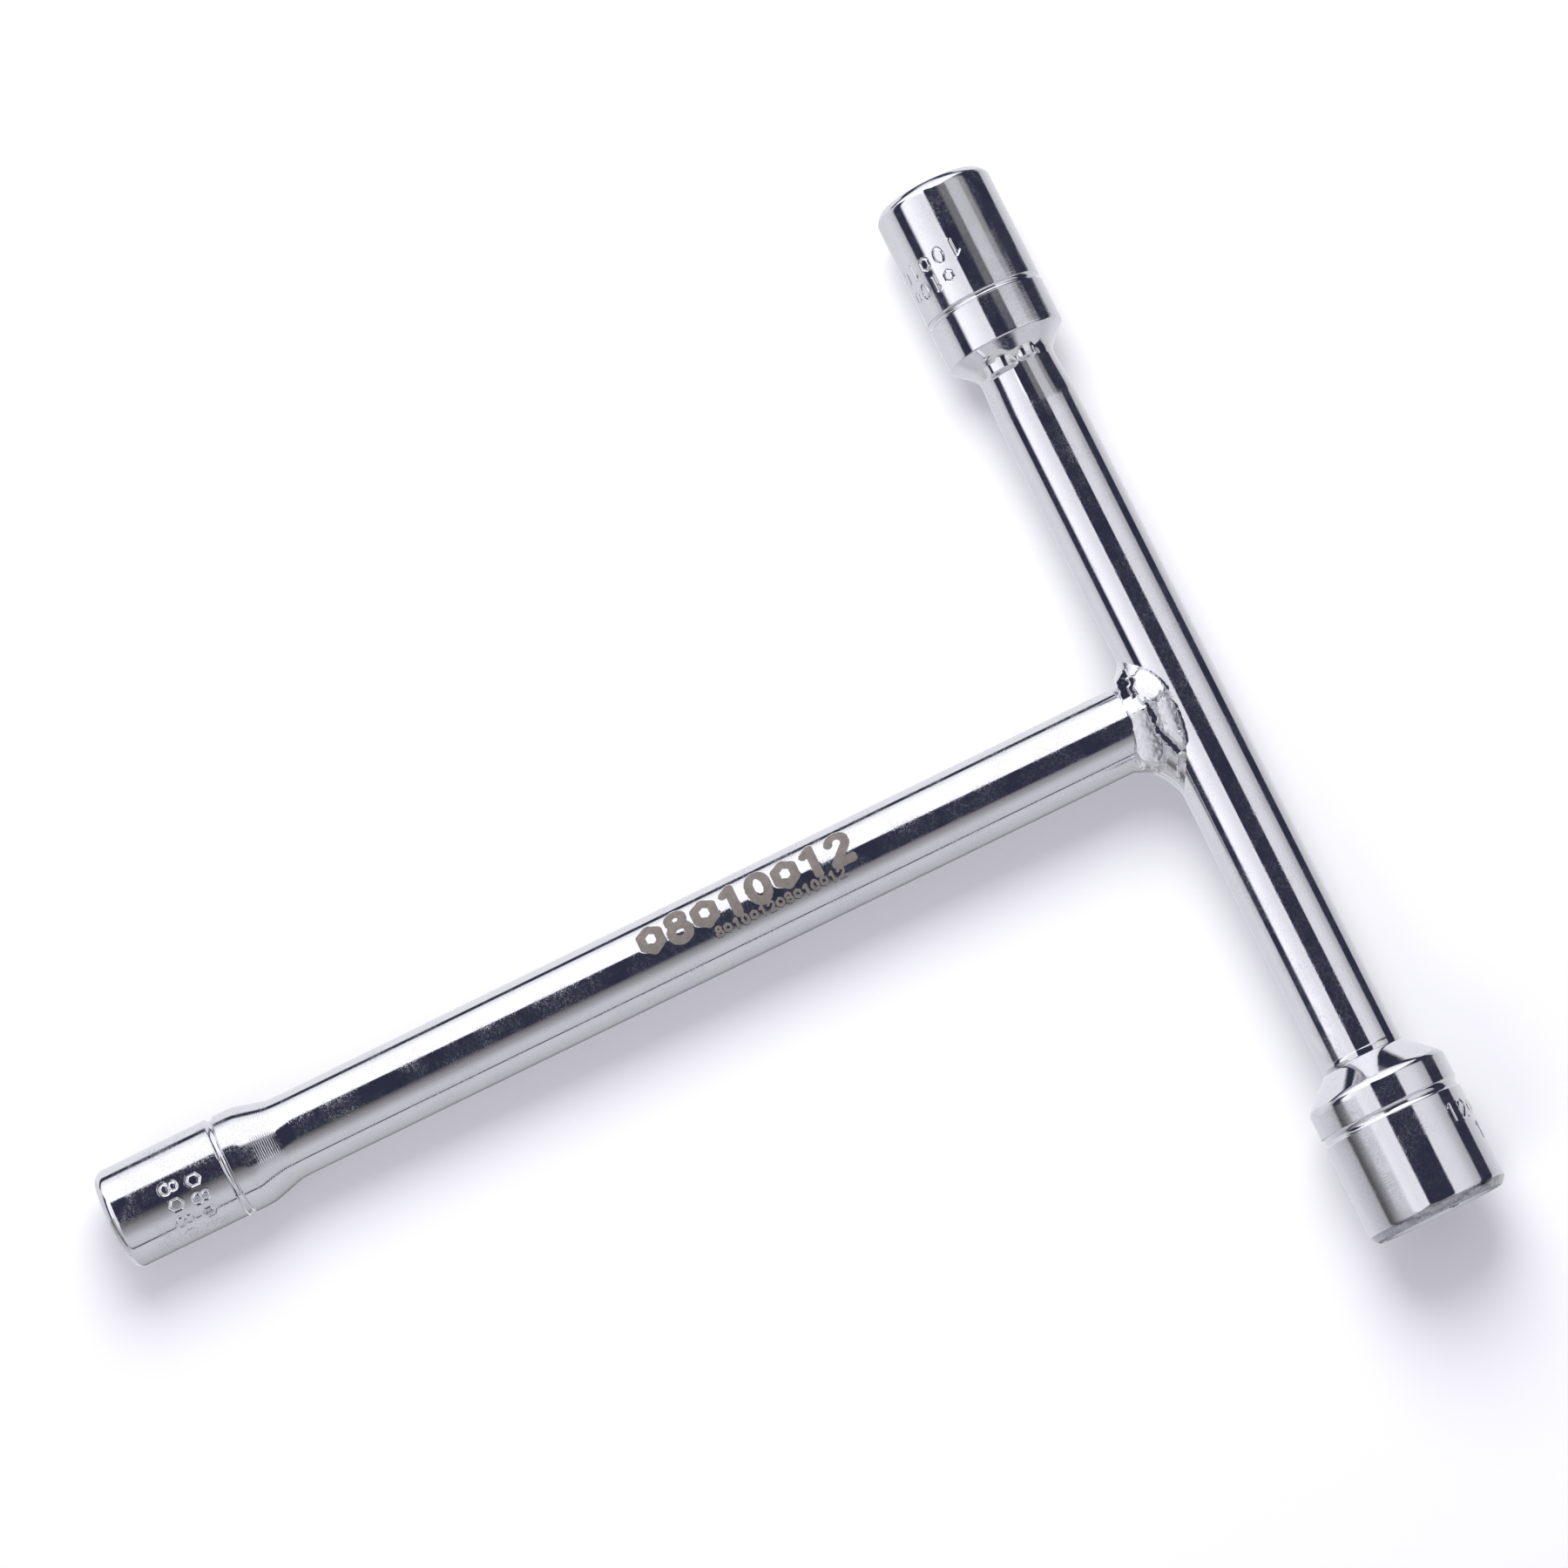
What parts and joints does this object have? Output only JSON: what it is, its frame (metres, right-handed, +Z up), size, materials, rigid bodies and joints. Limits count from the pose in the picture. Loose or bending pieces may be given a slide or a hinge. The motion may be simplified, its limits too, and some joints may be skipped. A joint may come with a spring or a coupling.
{
  "type": "three-way socket wrench",
  "caption": "Rigid T-shaped hand wrench of welded round bar, with a hexagon socket of a different size at each end.",
  "frame": {"origin": "middle of the tool's footprint, level with the lowest point of the 12 mm socket as the tool lies flat", "axes": "+X along the cross bar towards the 12 mm socket, -Y along the leg towards the 8 mm socket, +Z up, square to both bars"},
  "size_m": [0.1342, 0.147, 0.0171],
  "materials": {
    "chrome_bar": "bright chrome plate over polished steel, lightly smudged",
    "chrome_socket": "chrome plate over turned steel, fine machining lines and small pits",
    "chrome_weld": "chrome plate over lumpy, undressed weld metal"
  },
  "bodies": {
    "root": {"cross_bar": "chrome_bar", "leg_bar": "chrome_bar", "tee_saddle_weld": "chrome_weld", "socket_12mm": "chrome_socket", "socket_12mm_ring_weld": "chrome_weld", "socket_10mm": "chrome_socket", "socket_10mm_ring_weld": "chrome_weld", "socket_8mm": "chrome_socket", "socket_8mm_ring_weld": "chrome_weld"}
  },
  "joints": []
}
